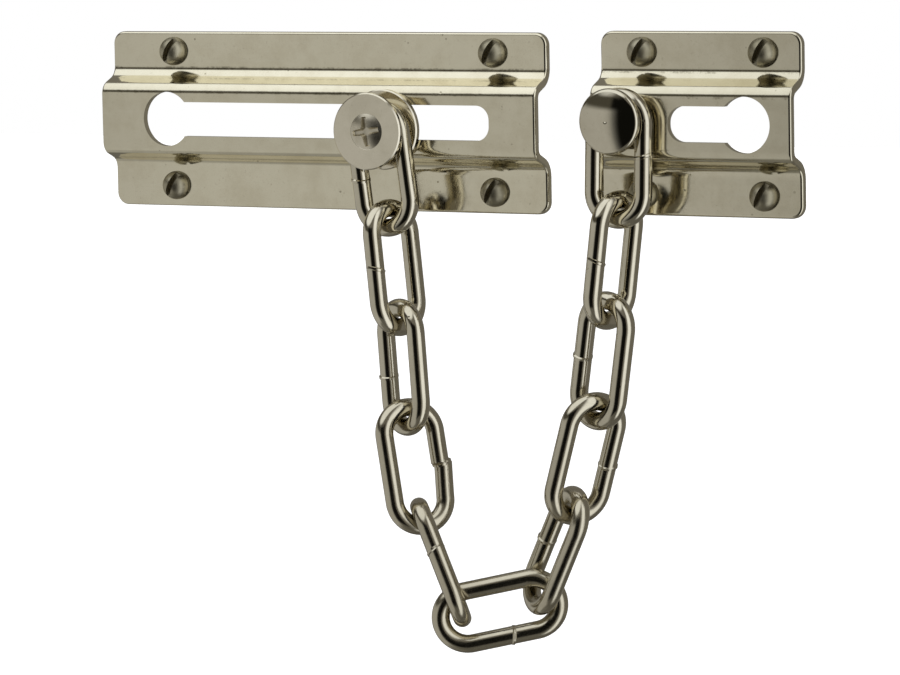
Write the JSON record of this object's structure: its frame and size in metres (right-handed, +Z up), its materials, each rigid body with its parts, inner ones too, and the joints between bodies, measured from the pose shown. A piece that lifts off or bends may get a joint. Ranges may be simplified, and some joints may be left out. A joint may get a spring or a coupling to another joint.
{
  "type": "door chain guard",
  "caption": "Door chain guard: ribbed door plate with a long keyhole slot, sliding stud, short frame plate with a domed stud, and a welded steel chain hanging between them.",
  "frame": {"origin": "centre of the door plate's four screws, on the plane of the plate backs", "axes": "+X from the door plate towards the frame plate, +Z up, fronts face -Y"},
  "size_m": [0.199, 0.0445, 0.1552],
  "materials": {
    "plate_nickel": "satin nickel plated",
    "screw_nickel": "satin nickel plated, worn",
    "stud_nickel": "satin nickel plated",
    "chain_nickel": "bright nickel plated"
  },
  "bodies": {
    "mount": {"door_plate": "plate_nickel", "frame_plate": "plate_nickel", "door_plate_screws": "screw_nickel", "frame_plate_screws": "screw_nickel", "fixed_stud": "stud_nickel", "fixed_stud_washer": "stud_nickel"},
    "slider": {"slider_foot": "stud_nickel", "slider_rear_disc": "stud_nickel", "slider_sleeve": "stud_nickel", "slider_front_disc": "stud_nickel", "slider_screw": "screw_nickel"},
    "link_01": {"chain_link_01": "chain_nickel"},
    "link_02": {"chain_link_02": "chain_nickel"},
    "link_03": {"chain_link_03": "chain_nickel"},
    "link_04": {"chain_link_04": "chain_nickel"},
    "link_05": {"chain_link_05": "chain_nickel"},
    "link_06": {"chain_link_06": "chain_nickel"},
    "link_07": {"chain_link_07": "chain_nickel"},
    "link_08": {"chain_link_08": "chain_nickel"},
    "link_09": {"chain_link_09": "chain_nickel"},
    "link_10": {"chain_link_10": "chain_nickel"},
    "link_11": {"chain_link_11": "chain_nickel"}
  },
  "joints": [
    {"name": "slider_slide", "type": "slide", "parent": "mount", "child": "slider", "axis": [1, 0, 0], "range_m": [-0.04, 0.026]},
    {"name": "link_01_swing", "type": "hinge", "parent": "slider", "child": "link_01", "pos_m": [0.0197, -0.0129, -0.0016], "axis": [0, 1, 0], "range_deg": [-10.39, 7.11]},
    {"name": "link_02_swing", "type": "hinge", "parent": "link_01", "child": "link_02", "pos_m": [0.02324, -0.01365, -0.02111], "axis": [0, 1, 0], "range_deg": [-4.19, 3.08]},
    {"name": "link_03_swing", "type": "hinge", "parent": "link_02", "child": "link_03", "pos_m": [0.02682, -0.01501, -0.04976], "axis": [0, 1, 0], "range_deg": [-3.77, 2.8]},
    {"name": "link_04_swing", "type": "hinge", "parent": "link_03", "child": "link_04", "pos_m": [0.02871, -0.01627, -0.07114], "axis": [0, 1, 0], "range_deg": [-4.85, 6.93]},
    {"name": "link_05_swing", "type": "hinge", "parent": "link_04", "child": "link_05", "pos_m": [0.03349, -0.0182, -0.0971], "axis": [0, 1, 0], "range_deg": [-5.8, 8.39]},
    {"name": "link_11_swing", "type": "hinge", "parent": "mount", "child": "link_11", "pos_m": [0.0873, -0.0119, 0.0016], "axis": [0, 1, 0], "range_deg": [-13.41, 20.1]},
    {"name": "link_10_swing", "type": "hinge", "parent": "link_11", "child": "link_10", "pos_m": [0.08782, -0.01195, -0.01773], "axis": [0, 1, 0], "range_deg": [-9.64, 6.61]},
    {"name": "link_09_swing", "type": "hinge", "parent": "link_10", "child": "link_09", "pos_m": [0.0843, -0.01248, -0.04766], "axis": [0, 1, 0], "range_deg": [-1.39, 1.25]},
    {"name": "link_08_swing", "type": "hinge", "parent": "link_09", "child": "link_08", "pos_m": [0.08171, -0.01257, -0.06777], "axis": [0, 1, 0], "range_deg": [-4.28, 3.13]},
    {"name": "link_07_swing", "type": "hinge", "parent": "link_08", "child": "link_07", "pos_m": [0.07398, -0.01258, -0.09563], "axis": [0, 1, 0], "range_deg": [-4.68, 3.39]},
    {"name": "link_06_swing", "type": "hinge", "parent": "link_07", "child": "link_06", "pos_m": [0.06249, -0.01199, -0.11944], "axis": [0, 1, 0], "range_deg": [-2.01, 1.65]}
  ],
  "couplings": [
    {"joint": "link_01_swing", "follows": "slider_slide", "rad_per_m": 4.099},
    {"joint": "link_02_swing", "follows": "slider_slide", "rad_per_m": 1.394},
    {"joint": "link_03_swing", "follows": "slider_slide", "rad_per_m": 1.21},
    {"joint": "link_04_swing", "follows": "slider_slide", "rad_per_m": -2.586},
    {"joint": "link_05_swing", "follows": "slider_slide", "rad_per_m": -3.223},
    {"joint": "link_11_swing", "follows": "slider_slide", "rad_per_m": -8.332},
    {"joint": "link_10_swing", "follows": "slider_slide", "rad_per_m": 3.768},
    {"joint": "link_09_swing", "follows": "slider_slide", "rad_per_m": 0.17},
    {"joint": "link_08_swing", "follows": "slider_slide", "rad_per_m": 1.429},
    {"joint": "link_07_swing", "follows": "slider_slide", "rad_per_m": 1.604},
    {"joint": "link_06_swing", "follows": "slider_slide", "rad_per_m": 0.439}
  ]
}
